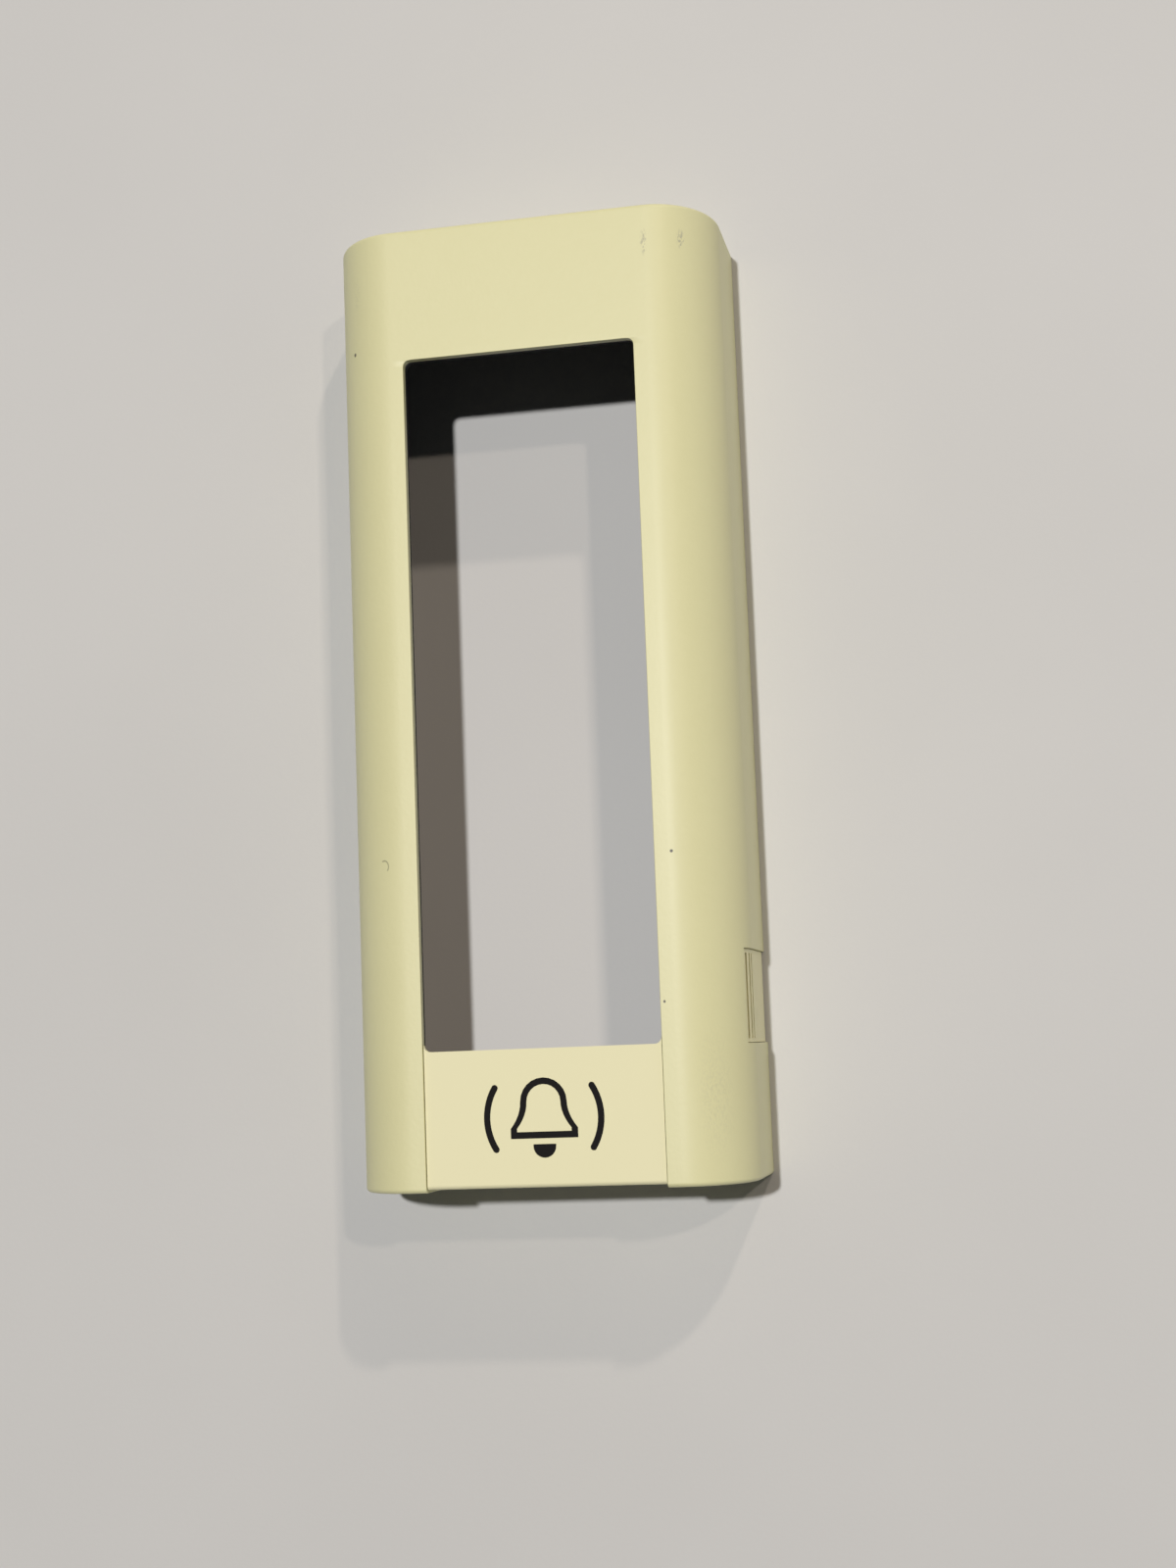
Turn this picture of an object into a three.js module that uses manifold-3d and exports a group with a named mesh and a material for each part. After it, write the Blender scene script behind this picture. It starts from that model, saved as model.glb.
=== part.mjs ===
// Clip-on front cover of a slim video doorbell.
// A painted shell frames a tall window, a sunk panel closes its lower end, and a black carrier
// inside holds the snap arms, the top hooks, the window seal and a captive security screw.
// Millimetres. X across the cover, Y up its length, Z out of its face. The origin is the centre
// of the back plane, which the rim rests on.
import * as THREE from "three";
import { mergeVertices } from "three/addons/utils/BufferGeometryUtils.js";
import Module from "manifold-3d";

const wasm = await Module();
wasm.setup();

// ---- Driving dimensions ---------------------------------------------------------------------

// Outer shell
const WIDTH = 47;
const LENGTH = 114.3;
const DEPTH = 20.3;
const WALL = 1;
const ROUND_ACROSS = 8; // half axis of the long edges' elliptical rounding, across the face
const ROUND_DEEP = 9.5; // its other half axis, down the side
const END_ROUND = 0.5;

// Window, and the sunk panel below it
const RAIL_WIDTH = 9.5; // from each long side to the window
const TOP_BAND = 16.1; // from the upper end to the window
const LOWER_BAND = 16.05; // from the lower end to the window
const WINDOW_CORNER = 0.8;
const PANEL_SINK = 0.3;
const PANEL_END_STEP = 0.35;
const PANEL_LIFT = 0.3; // the panel's end stops this far above the rim
const SEAM = 0.08; // gap on each side of the panel and of the grille
const PEG_RADIUS = 0.9;
const PEG_INSET = 4; // from the panel's sides and upper edge

// Bell mark, inlaid in the panel
const MARK_HEIGHT = 9;
const MARK_WIDTH = 14;
const MARK_STROKE = 0.7;
const MARK_DEPTH = 0.3;
const MARK_SINK = 0.03;
const MARK_GAP = 0.03;
const BELL_WIDTH = 7.8;
const BELL_CROWN = 2.7;
const BELL_LIP = 1.1; // straight part above the bell's rim
const CLAPPER_RADIUS = 1.3;
const CLAPPER_SIDE = 0.2; // straight part above the clapper's half circle
const WAVE_SPREAD = 0.55; // half angle of each sound wave, in radians

// Speaker grille in the right wall
const GRILLE_FROM_END = 15.75; // from the lower end
const GRILLE_LENGTH = 10.9;
const GRILLE_DROP = 6.2; // from the face to the grille's upper edge
const GRILLE_SINK = 0.25;
const GRILLE_LIFT = 0.3;
const FLANGE_THICKNESS = 0.4;
const FLANGE_MARGIN = 0.8;
const SLOT_COUNT = 3;
const SLOT_PITCH = 1.55;
const SLOT_WIDTH = 0.6; // measured up the grille's outside
const SLOT_INSET = 0.45; // from the grille's edges to the slots' ends
const SLOT_FALL = 1.1; // how much lower a slot is at the grille's back, so that it can't be seen through
const CLOTH_THICKNESS = 0.3;
const CLOTH_MARGIN = 0.4;

// Inner carrier
const FIT = 0.1; // gap between the carrier and the shell, and between other fixed pieces
const FLEX_ROOM = 1.1; // from the carrier's sides to the shell, so that the arms can spread
const FRAME_WALL = 1.2;
const FRAME_LIFT = 0.6;
const FRAME_SET_BACK = 0.4; // the carrier's window is this much larger all round
const RIB_THICKNESS = 1.2;
const RIB_LOW = 2;
const RIB_HIGH = 9;
const RIB_END_INSET = 6;
const RIB_MIDDLE_SPACING = 16;
const HOOK_WIDTH = 8;
const HOOK_SPACING = 22;
const HOOK_REACH = 1.6;
const HOOK_HEIGHT = 1.6;
const HOOK_LIFT = 3;

// Heat stakes that hold the carrier to the shell
const STAKE_RADIUS = 0.8;
const STAKE_HEAD_RADIUS = 1.4;
const STAKE_HEAD_HEIGHT = 0.5;
const STAKE_SPACING = 18;

// Window seal
const SEAL_WIDTH = 1.7;
const SEAL_THICKNESS = 0.8;

// Snap arms
const ARM_FROM_END = 33; // from each end to the middle of an arm
const ARM_WIDTH = 7;
const ARM_LENGTH = 8;
const ARM_THICKNESS = 1;
const ARM_TIP_HEIGHT = 2.5;
const ARM_CATCH = 0.9;
const CATCH_TOP = 2.6; // heights above the arm's tip
const CATCH_RIDGE = [1.2, 1.6];
const ARM_SLOT = 0.4;

// Captive security screw
const SCREW_HEIGHT = 8;
const SCREW_RADIUS = 1.5;
const SCREW_LENGTH = 8;
const SCREW_POINT = 0.5;
const HEAD_RADIUS = 2.8;
const HEAD_HEIGHT = 1.8;
const HEAD_ROUND = 0.4;
const HEAD_SINK = 0.6;
const HEAD_GAP = 0.3;
const HOLE_GAP = 0.2;
const SOCKET_RADIUS = 1.35;
const SOCKET_WAVE = 0.2;
const SOCKET_DEPTH = 1.1;
const SOCKET_LOBES = 6;
const PIN_RADIUS = 0.35;
const BOSS_WALL = 1.1;
const BOSS_LENGTH = 3;
const RETAINER_RADIUS = 3;
const RETAINER_THICKNESS = 0.8;
const RETAINER_GAP = 0.1;
const SCREW_TRAVEL = 2;

// Facets
const ROUND_STEPS = 16;
const SMALL_STEPS = 3;
const LOBE_STEPS = 6;
const CIRCLE_STEPS = 24;

// ---- Sizes that follow from them ------------------------------------------------------------

const HALF_WIDTH = WIDTH / 2;
const HALF_LENGTH = LENGTH / 2;
const HALF_WINDOW = HALF_WIDTH - RAIL_WIDTH;
const WINDOW_HIGH = HALF_LENGTH - TOP_BAND;
const WINDOW_LOW = LOWER_BAND - HALF_LENGTH;
const FACE_UNDERSIDE = DEPTH - WALL;
const PANEL_TOP = DEPTH - PANEL_SINK;
const PANEL_END = PANEL_END_STEP - HALF_LENGTH;
const PANEL_HALF = HALF_WINDOW - SEAM;
const SHELL_INSIDE = HALF_WIDTH - WALL;
const SHELL_END_INSIDE = HALF_LENGTH - WALL;
const FRAME_HALF_WIDTH = SHELL_INSIDE - FLEX_ROOM;
const FRAME_HALF_LENGTH = SHELL_END_INSIDE - FIT;
const FRAME_TOP = FACE_UNDERSIDE - FIT;
const FRAME_INSIDE = FRAME_HALF_WIDTH - FRAME_WALL;
const FRAME_END_INSIDE = FRAME_HALF_LENGTH - FRAME_WALL;
const FRAME_UNDERSIDE = FRAME_TOP - FRAME_WALL;
const GRILLE_LOW = GRILLE_FROM_END - HALF_LENGTH;
const GRILLE_HIGH = GRILLE_LOW + GRILLE_LENGTH;
const GRILLE_TOP = DEPTH - GRILLE_DROP;
const GRILLE_BACK = WALL + FIT + FLANGE_THICKNESS; // depth of its back below the outer surface
const SLOT_TOP = GRILLE_TOP - SEAM - SLOT_INSET;
const ARM_MIDDLE = FRAME_INSIDE + FRAME_WALL / 2;
const ARM_ROOT_HEIGHT = ARM_TIP_HEIGHT + ARM_LENGTH;
const HEAD_BORE = HEAD_RADIUS + HEAD_GAP;
const SCREW_SEAT = PANEL_END + HEAD_SINK + HEAD_HEIGHT + FIT;
const BOSS_END = SCREW_SEAT + BOSS_LENGTH;
const RETAINER_REST = BOSS_END + FIT + SCREW_TRAVEL;
const FAR = 2 * (WIDTH + LENGTH + DEPTH); // beyond the object, for cutters
const OVER = 1; // how far a cutter runs past what it cuts

// ---- Materials ------------------------------------------------------------------------------

const material = (color, roughness, metalness = 0) =>
  new THREE.MeshStandardMaterial({ color, roughness, metalness });

const MATERIALS = {
  ivoryPaint: material(0xe9e3bd, 0.5),
  blackPlastic: material(0x1b1a19, 0.6),
  inlay: material(0x121212, 0.45),
  foam: material(0x1d1d1f, 0.95),
  cloth: material(0x101011, 0.9),
  steel: material(0x8d8f92, 0.35, 1),
  nylon: material(0xd8d6cc, 0.55),
};

// ---- Solids ---------------------------------------------------------------------------------

// A closed three.js geometry as a manifold-3d solid.
function solidOf(geometry) {
  const bare = geometry.index ? geometry.toNonIndexed() : geometry.clone();
  const points = new THREE.BufferGeometry().setAttribute("position", bare.getAttribute("position"));
  const merged = mergeVertices(points, 1e-4);
  return new wasm.Manifold(
    new wasm.Mesh({
      numProp: 3,
      vertProperties: merged.attributes.position.array,
      triVerts: new Uint32Array(merged.index.array),
    }),
  );
}

// A manifold-3d solid as a named mesh.
function meshOf(name, solid, finish) {
  const made = solid.getMesh();
  const geometry = new THREE.BufferGeometry();
  geometry.setAttribute("position", new THREE.BufferAttribute(made.vertProperties, 3));
  geometry.setIndex(new THREE.BufferAttribute(made.triVerts, 1));
  geometry.computeVertexNormals();
  const mesh = new THREE.Mesh(geometry, finish);
  mesh.name = name;
  return mesh;
}

// A box between two values on each axis.
function block([x0, x1], [y0, y1], [z0, z1]) {
  const geometry = new THREE.BoxGeometry(x1 - x0, y1 - y0, z1 - z0);
  geometry.translate((x0 + x1) / 2, (y0 + y1) / 2, (z0 + z1) / 2);
  return solidOf(geometry);
}

// A cylinder along X between two values.
function rodAlongX(radius, y, z, x0, x1) {
  const geometry = new THREE.CylinderGeometry(radius, radius, x1 - x0, CIRCLE_STEPS);
  geometry.rotateZ(Math.PI / 2);
  geometry.translate((x0 + x1) / 2, y, z);
  return solidOf(geometry);
}

// A cylinder along Y between two values.
function rodAlongY(radius, x, z, y0, y1) {
  const geometry = new THREE.CylinderGeometry(radius, radius, y1 - y0, CIRCLE_STEPS);
  geometry.translate(x, (y0 + y1) / 2, z);
  return solidOf(geometry);
}

// A cylinder along Z between two values.
function rodAlongZ(radius, x, y, z0, z1) {
  const geometry = new THREE.CylinderGeometry(radius, radius, z1 - z0, CIRCLE_STEPS);
  geometry.rotateX(Math.PI / 2);
  geometry.translate(x, y, (z0 + z1) / 2);
  return solidOf(geometry);
}

// A flat outline in X and Y, raised between two heights.
function plate(shape, z0, z1) {
  const geometry = new THREE.ExtrudeGeometry(shape, {
    depth: z1 - z0,
    bevelEnabled: false,
    curveSegments: SMALL_STEPS * 2,
  });
  geometry.translate(0, 0, z0);
  return solidOf(geometry);
}

// A cross-section in X and Z, carried along Y between two values, with its ends rounded off.
function bar(shape, y0, y1, round = 0) {
  const geometry = new THREE.ExtrudeGeometry(shape, {
    depth: y1 - y0 - 2 * round,
    bevelEnabled: round > 0,
    bevelThickness: round,
    bevelSize: round,
    bevelOffset: -round,
    bevelSegments: SMALL_STEPS,
  });
  geometry.rotateX(Math.PI / 2);
  geometry.translate(0, y1 - round, 0);
  return solidOf(geometry);
}

const joined = (solids) => solids.reduce((whole, next) => whole.add(next));
const without = (solid, cutters) => cutters.reduce((whole, next) => whole.subtract(next), solid);

// The cover's cross-section, moved in by inset on its sides and by topInset at its face.
function coverSection(inset, topInset, low) {
  const shape = new THREE.Shape();
  const half = HALF_WIDTH - inset;
  const centre = HALF_WIDTH - ROUND_ACROSS;
  const spring = DEPTH - ROUND_DEEP;
  const across = half - centre;
  const deep = ROUND_DEEP - topInset;
  shape.moveTo(-half, low);
  shape.lineTo(half, low);
  for (let i = 0; i <= ROUND_STEPS; i++) {
    const turn = (i / ROUND_STEPS) * (Math.PI / 2);
    shape.lineTo(centre + across * Math.cos(turn), spring + deep * Math.sin(turn));
  }
  for (let i = ROUND_STEPS; i >= 0; i--) {
    const turn = (i / ROUND_STEPS) * (Math.PI / 2);
    shape.lineTo(-centre - across * Math.cos(turn), spring + deep * Math.sin(turn));
  }
  return shape;
}

// A rectangle in X and Y with rounded corners.
function roundedRectangle([x0, x1], [y0, y1], radius) {
  const shape = new THREE.Shape();
  shape.moveTo(x0 + radius, y0);
  shape.lineTo(x1 - radius, y0);
  shape.absarc(x1 - radius, y0 + radius, radius, -Math.PI / 2, 0);
  shape.lineTo(x1, y1 - radius);
  shape.absarc(x1 - radius, y1 - radius, radius, 0, Math.PI / 2);
  shape.lineTo(x0 + radius, y1);
  shape.absarc(x0 + radius, y1 - radius, radius, Math.PI / 2, Math.PI);
  shape.lineTo(x0, y0 + radius);
  shape.absarc(x0 + radius, y0 + radius, radius, Math.PI, 1.5 * Math.PI);
  return shape;
}

// The window grown by a margin, as an outline.
function windowOutline(margin, bottom = WINDOW_LOW - margin) {
  const sides = HALF_WINDOW + margin;
  return roundedRectangle([-sides, sides], [bottom, WINDOW_HIGH + margin], WINDOW_CORNER + margin);
}

// The span between two values, moved out at both ends.
const widened = ([low, high], by) => [low - by, high + by];

// ---- Outer pieces ---------------------------------------------------------------------------

const stakePlaces = [-1, 1].map((side) => [
  (side * STAKE_SPACING) / 2,
  (WINDOW_HIGH + HALF_LENGTH) / 2,
]);
const pegPlaces = [-1, 1].map((side) => [side * (PANEL_HALF - PEG_INSET), WINDOW_LOW - PEG_INSET]);

function frontShell() {
  const outside = bar(coverSection(0, 0, -2 * END_ROUND), -HALF_LENGTH, HALF_LENGTH, END_ROUND);
  const hollow = bar(coverSection(WALL, WALL, -FAR), -SHELL_END_INSIDE, SHELL_END_INSIDE);
  const belowRim = block([-FAR, FAR], [-FAR, FAR], [-FAR, 0]);
  const windowAndPanel = plate(windowOutline(0, -FAR), FACE_UNDERSIDE - OVER, DEPTH + OVER);
  const panelEnd = block(
    [-HALF_WINDOW, HALF_WINDOW],
    [-FAR, OVER - SHELL_END_INSIDE],
    [-OVER, DEPTH + OVER],
  );
  const grilleNotch = block([HALF_WIDTH - ROUND_ACROSS, FAR], [GRILLE_LOW, GRILLE_HIGH], [-OVER, GRILLE_TOP]);
  const tray = without(outside, [hollow, belowRim, windowAndPanel, panelEnd, grilleNotch]);
  const headTop = FRAME_UNDERSIDE - FIT;
  const headBottom = headTop - STAKE_HEAD_HEIGHT;
  const stakes = stakePlaces.flatMap(([x, y]) => [
    rodAlongZ(STAKE_RADIUS, x, y, headBottom, FACE_UNDERSIDE + WALL / 2),
    rodAlongZ(STAKE_HEAD_RADIUS, x, y, headBottom, headTop),
  ]);
  return joined([tray, ...stakes]);
}

// The panel's outline from above: its upper corners sweep up into the window's lower corners.
function panelOutline() {
  const corner = WINDOW_CORNER;
  const centre = WINDOW_LOW + corner;
  const shape = new THREE.Shape();
  shape.moveTo(-PANEL_HALF, PANEL_END);
  shape.lineTo(PANEL_HALF, PANEL_END);
  shape.lineTo(PANEL_HALF, centre);
  shape.absarc(PANEL_HALF - corner, centre, corner, 0, -Math.PI / 2, true);
  shape.lineTo(corner - PANEL_HALF, WINDOW_LOW);
  shape.absarc(corner - PANEL_HALF, centre, corner, -Math.PI / 2, -Math.PI, true);
  return shape;
}

function lowerPanel(mark) {
  const face = plate(panelOutline(), FACE_UNDERSIDE, PANEL_TOP);
  const end = block([-PANEL_HALF, PANEL_HALF], [PANEL_END, -SHELL_END_INSIDE], [PANEL_LIFT, PANEL_TOP]);
  const pegs = pegPlaces.map(([x, y]) => rodAlongZ(PEG_RADIUS, x, y, FRAME_UNDERSIDE, FACE_UNDERSIDE));
  const edgeY = PANEL_END + END_ROUND;
  const edgeZ = PANEL_TOP - END_ROUND;
  const sharpEdge = block([-FAR, FAR], [-FAR, edgeY], [edgeZ, FAR]);
  const roundEdge = rodAlongX(END_ROUND, edgeY, edgeZ, -PANEL_HALF, PANEL_HALF);
  const headWay = rodAlongY(HEAD_BORE, 0, SCREW_HEIGHT, -FAR, 0);
  return without(joined([face, end, ...pegs]), [sharpEdge.subtract(roundEdge), headWay, ...mark]);
}

// ---- Bell mark ------------------------------------------------------------------------------

const clapperCentre = CLAPPER_RADIUS - MARK_HEIGHT / 2;
const bellRim = clapperCentre + CLAPPER_SIDE + MARK_STROKE;

// The bell's outline from its rim up, moved out by grow.
function bellOutline(grow) {
  const skirt = BELL_WIDTH / 2 + grow;
  const crown = BELL_CROWN + grow;
  const crownCentre = MARK_HEIGHT / 2 - BELL_CROWN;
  const waist = (bellRim + BELL_LIP + crownCentre) / 2;
  const shape = new THREE.Shape();
  shape.moveTo(-skirt, bellRim - grow);
  shape.lineTo(skirt, bellRim - grow);
  shape.lineTo(skirt, bellRim + BELL_LIP);
  shape.quadraticCurveTo(crown, waist, crown, crownCentre);
  shape.absarc(0, crownCentre, crown, 0, Math.PI);
  shape.quadraticCurveTo(-crown, waist, -skirt, bellRim + BELL_LIP);
  return shape;
}

function clapperOutline(grow) {
  const radius = CLAPPER_RADIUS + grow;
  const top = clapperCentre + CLAPPER_SIDE + grow;
  const shape = new THREE.Shape();
  shape.moveTo(radius, top);
  shape.lineTo(-radius, top);
  shape.absarc(0, clapperCentre, radius, Math.PI, 2 * Math.PI);
  return shape;
}

// An arc with round ends beside the bell, on the side that facing points to.
function waveOutline(facing, grow) {
  const half = MARK_STROKE / 2 + grow;
  const middle = (MARK_WIDTH - MARK_STROKE) / 2;
  const [from, to] = [facing - WAVE_SPREAD, facing + WAVE_SPREAD];
  const shape = new THREE.Shape();
  shape.absarc(0, 0, middle + half, from, to);
  shape.absarc(middle * Math.cos(to), middle * Math.sin(to), half, to, to + Math.PI);
  shape.absarc(0, 0, middle - half, to, from, true);
  shape.absarc(middle * Math.cos(from), middle * Math.sin(from), half, from + Math.PI, from + 2 * Math.PI);
  return shape;
}

// The mark's pieces, or with a gap, the pockets that they lie in.
function bellMark(gap = 0) {
  const low = PANEL_TOP - MARK_DEPTH - gap;
  const high = gap ? DEPTH + OVER : PANEL_TOP - MARK_SINK;
  const middle = (PANEL_END + WINDOW_LOW) / 2;
  const raised = (shape, from = low, to = high) => plate(shape, from, to).translate([0, middle, 0]);
  const inner = raised(bellOutline(-MARK_STROKE - gap), low - OVER, high + OVER);
  return {
    bell_mark_outline: raised(bellOutline(gap)).subtract(inner),
    bell_mark_clapper: raised(clapperOutline(gap)),
    bell_mark_wave_left: raised(waveOutline(Math.PI, gap)),
    bell_mark_wave_right: raised(waveOutline(0, gap)),
  };
}

// ---- Speaker grille -------------------------------------------------------------------------

const slotZone = {
  y: widened([GRILLE_LOW, GRILLE_HIGH], -SEAM - SLOT_INSET),
  z: [SLOT_TOP - (SLOT_COUNT - 1) * SLOT_PITCH - SLOT_WIDTH - SLOT_FALL, SLOT_TOP],
};

// One slot's cutter in X and Z. It slants down from the grille's outside to its back.
function slotCut(top) {
  const outside = HALF_WIDTH - GRILLE_SINK;
  const back = HALF_WIDTH - GRILLE_BACK;
  const slant = SLOT_FALL / (outside - back);
  const shape = new THREE.Shape();
  shape.moveTo(outside + OVER, top + OVER * slant);
  shape.lineTo(back - OVER, top - SLOT_FALL - OVER * slant);
  shape.lineTo(back - OVER, top - SLOT_WIDTH - SLOT_FALL - OVER * slant);
  shape.lineTo(outside + OVER, top - SLOT_WIDTH + OVER * slant);
  return shape;
}

// What lies between two depths below the cover's outer surface, on the grille's side.
function layer(outer, inner, y, z) {
  const skin = bar(coverSection(outer, outer, 0), ...y);
  const hollow = bar(coverSection(inner, inner, -OVER), ...widened(y, OVER));
  return skin.subtract(hollow).intersect(block([HALF_WIDTH - ROUND_ACROSS, FAR], y, z));
}

function speakerGrille() {
  const y = widened([GRILLE_LOW, GRILLE_HIGH], -SEAM);
  const plug = layer(GRILLE_SINK, GRILLE_BACK, y, [GRILLE_LIFT, GRILLE_TOP - SEAM]);
  const flangeTop = GRILLE_TOP + FLANGE_MARGIN;
  const flange = layer(WALL + FIT, GRILLE_BACK, widened(y, FLANGE_MARGIN), [GRILLE_LIFT, flangeTop]);
  const cuts = [];
  for (let i = 0; i < SLOT_COUNT; i++) {
    cuts.push(bar(slotCut(SLOT_TOP - i * SLOT_PITCH), ...slotZone.y));
  }
  return without(plug.add(flange), cuts);
}

function grilleCloth() {
  const front = GRILLE_BACK + FIT;
  return layer(front, front + CLOTH_THICKNESS, widened(slotZone.y, CLOTH_MARGIN), slotZone.z);
}

// ---- Inner carrier --------------------------------------------------------------------------

const armPlaces = [-1, 1].flatMap((side) =>
  [1, -1].map((end) => ({ side, y: end * (HALF_LENGTH - ARM_FROM_END) })),
);

function armWindow({ side, y }) {
  const reach = widened([FRAME_INSIDE, FRAME_HALF_WIDTH], OVER);
  return block(
    side > 0 ? reach : [-reach[1], -reach[0]],
    widened([y, y], ARM_WIDTH / 2 + ARM_SLOT),
    [ARM_TIP_HEIGHT - ARM_SLOT, ARM_ROOT_HEIGHT + ARM_THICKNESS / 2 + FIT],
  );
}

// Upright ribs that keep the carrier's sides off the shell.
function spacerRibs() {
  const ends = FRAME_HALF_LENGTH - RIB_END_INSET;
  const middle = RIB_MIDDLE_SPACING / 2;
  const reach = [FRAME_HALF_WIDTH - FIT, SHELL_INSIDE - FIT];
  return [-ends, -middle, middle, ends].flatMap((y) => {
    const along = widened([y, y], RIB_THICKNESS / 2);
    return [
      block(reach, along, [RIB_LOW, RIB_HIGH]),
      block([-reach[1], -reach[0]], along, [RIB_LOW, RIB_HIGH]),
    ];
  });
}

// Two tongues at the upper end that hook over the doorbell's upper edge.
function topHooks() {
  return [-1, 1].map((side) =>
    block(
      widened([(side * HOOK_SPACING) / 2, (side * HOOK_SPACING) / 2], HOOK_WIDTH / 2),
      [FRAME_END_INSIDE - HOOK_REACH, FRAME_END_INSIDE + FRAME_WALL / 2],
      [HOOK_LIFT, HOOK_LIFT + HOOK_HEIGHT],
    ),
  );
}

function innerFrame() {
  const outsideSection = coverSection(WALL + FLEX_ROOM, WALL + FIT, FRAME_LIFT);
  const insideSection = coverSection(WALL + FLEX_ROOM + FRAME_WALL, WALL + FIT + FRAME_WALL, -OVER);
  const box = bar(outsideSection, -FRAME_HALF_LENGTH, FRAME_HALF_LENGTH).subtract(
    bar(insideSection, -FRAME_END_INSIDE, FRAME_END_INSIDE),
  );
  const boss = rodAlongY(HEAD_BORE + BOSS_WALL, 0, SCREW_HEIGHT, -FRAME_HALF_LENGTH, BOSS_END);
  return without(joined([box, boss, ...spacerRibs(), ...topHooks()]), [
    plate(windowOutline(FRAME_SET_BACK), FRAME_UNDERSIDE - OVER, FRAME_TOP + OVER),
    rodAlongY(HEAD_BORE, 0, SCREW_HEIGHT, -FAR, SCREW_SEAT),
    rodAlongY(SCREW_RADIUS + HOLE_GAP, 0, SCREW_HEIGHT, -FAR, BOSS_END + OVER),
    block(widened([FRAME_INSIDE, FRAME_HALF_WIDTH], OVER), slotZone.y, slotZone.z),
    ...armPlaces.map(armWindow),
    ...pegPlaces.map(([x, y]) => rodAlongZ(PEG_RADIUS + FIT, x, y, 0, DEPTH)),
    ...stakePlaces.map(([x, y]) => rodAlongZ(STAKE_RADIUS + FIT, x, y, 0, DEPTH)),
  ]);
}

// A ring round the window that lies against the carrier's underside and follows its curve.
function windowSeal() {
  const inner = FRAME_SET_BACK + FIT;
  const ring = plate(windowOutline(inner + SEAL_WIDTH), 0, DEPTH).subtract(
    plate(windowOutline(inner), -OVER, DEPTH + OVER),
  );
  const under = (depth) =>
    bar(
      coverSection(WALL + FLEX_ROOM + FRAME_WALL + depth, WALL + FIT + FRAME_WALL + depth, -OVER),
      -HALF_LENGTH,
      HALF_LENGTH,
    );
  return ring.intersect(under(FIT)).subtract(under(FIT + SEAL_THICKNESS));
}

// ---- Snap arm, in its own frame: its root line is Y, it hangs down Z and catches along -X ----

function snapArm() {
  const half = ARM_THICKNESS / 2;
  const shape = new THREE.Shape();
  shape.moveTo(half, 0);
  shape.absarc(0, 0, half, 0, Math.PI);
  shape.lineTo(-half, CATCH_TOP - ARM_LENGTH);
  shape.lineTo(-half - ARM_CATCH, CATCH_RIDGE[1] - ARM_LENGTH);
  shape.lineTo(-half - ARM_CATCH, CATCH_RIDGE[0] - ARM_LENGTH);
  shape.lineTo(-half, -ARM_LENGTH);
  shape.lineTo(half, -ARM_LENGTH);
  return bar(shape, -ARM_WIDTH / 2, ARM_WIDTH / 2);
}

// ---- Security screw, in its own frame: its head's seat is at 0 and it points up Y ------------

function securityScrew() {
  const profile = [
    [0, -HEAD_HEIGHT],
    [HEAD_RADIUS - HEAD_ROUND, -HEAD_HEIGHT],
    [HEAD_RADIUS, HEAD_ROUND - HEAD_HEIGHT],
    [HEAD_RADIUS, 0],
    [SCREW_RADIUS, 0],
    [SCREW_RADIUS, SCREW_LENGTH - SCREW_POINT],
    [SCREW_RADIUS - SCREW_POINT, SCREW_LENGTH],
    [0, SCREW_LENGTH],
  ];
  const turned = new THREE.LatheGeometry(profile.map(([r, y]) => new THREE.Vector2(r, y)), CIRCLE_STEPS);
  const lobes = new THREE.Shape();
  lobes.moveTo(SOCKET_RADIUS, 0);
  for (let i = 1; i < SOCKET_LOBES * LOBE_STEPS; i++) {
    const turn = (i / LOBE_STEPS) * ((2 * Math.PI) / SOCKET_LOBES);
    const r = SOCKET_RADIUS - SOCKET_WAVE + SOCKET_WAVE * Math.cos(SOCKET_LOBES * turn);
    lobes.lineTo(r * Math.cos(turn), r * Math.sin(turn));
  }
  const socket = bar(lobes, -HEAD_HEIGHT - OVER, SOCKET_DEPTH - HEAD_HEIGHT);
  const pin = rodAlongY(PIN_RADIUS, 0, 0, -HEAD_HEIGHT - 2 * OVER, 0);
  return solidOf(turned).subtract(socket.subtract(pin));
}

function screwRetainer() {
  const bore = rodAlongY(SCREW_RADIUS + RETAINER_GAP, 0, 0, -OVER, RETAINER_THICKNESS + OVER);
  return rodAlongY(RETAINER_RADIUS, 0, 0, 0, RETAINER_THICKNESS).subtract(bore);
}

// ---- Assembly -------------------------------------------------------------------------------

const cover = new THREE.Group();
const { ivoryPaint, blackPlastic, inlay, foam, cloth, steel, nylon } = MATERIALS;

cover.add(meshOf("front_shell", frontShell(), ivoryPaint));
cover.add(meshOf("lower_panel", lowerPanel(Object.values(bellMark(MARK_GAP))), ivoryPaint));
for (const [name, solid] of Object.entries(bellMark())) {
  cover.add(meshOf(name, solid, inlay));
}
cover.add(meshOf("speaker_grille", speakerGrille(), ivoryPaint));
cover.add(meshOf("grille_cloth", grilleCloth(), cloth));
cover.add(meshOf("inner_frame", innerFrame(), blackPlastic));
cover.add(meshOf("window_seal", windowSeal(), foam));

for (const { side, y } of armPlaces) {
  const name = `snap_arm_${side > 0 ? "right" : "left"}_${y > 0 ? "upper" : "lower"}`;
  const arm = meshOf(name, snapArm(), blackPlastic);
  arm.position.set(side * ARM_MIDDLE, y, ARM_ROOT_HEIGHT);
  arm.rotation.z = side > 0 ? 0 : Math.PI;
  cover.add(arm);
}

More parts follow.
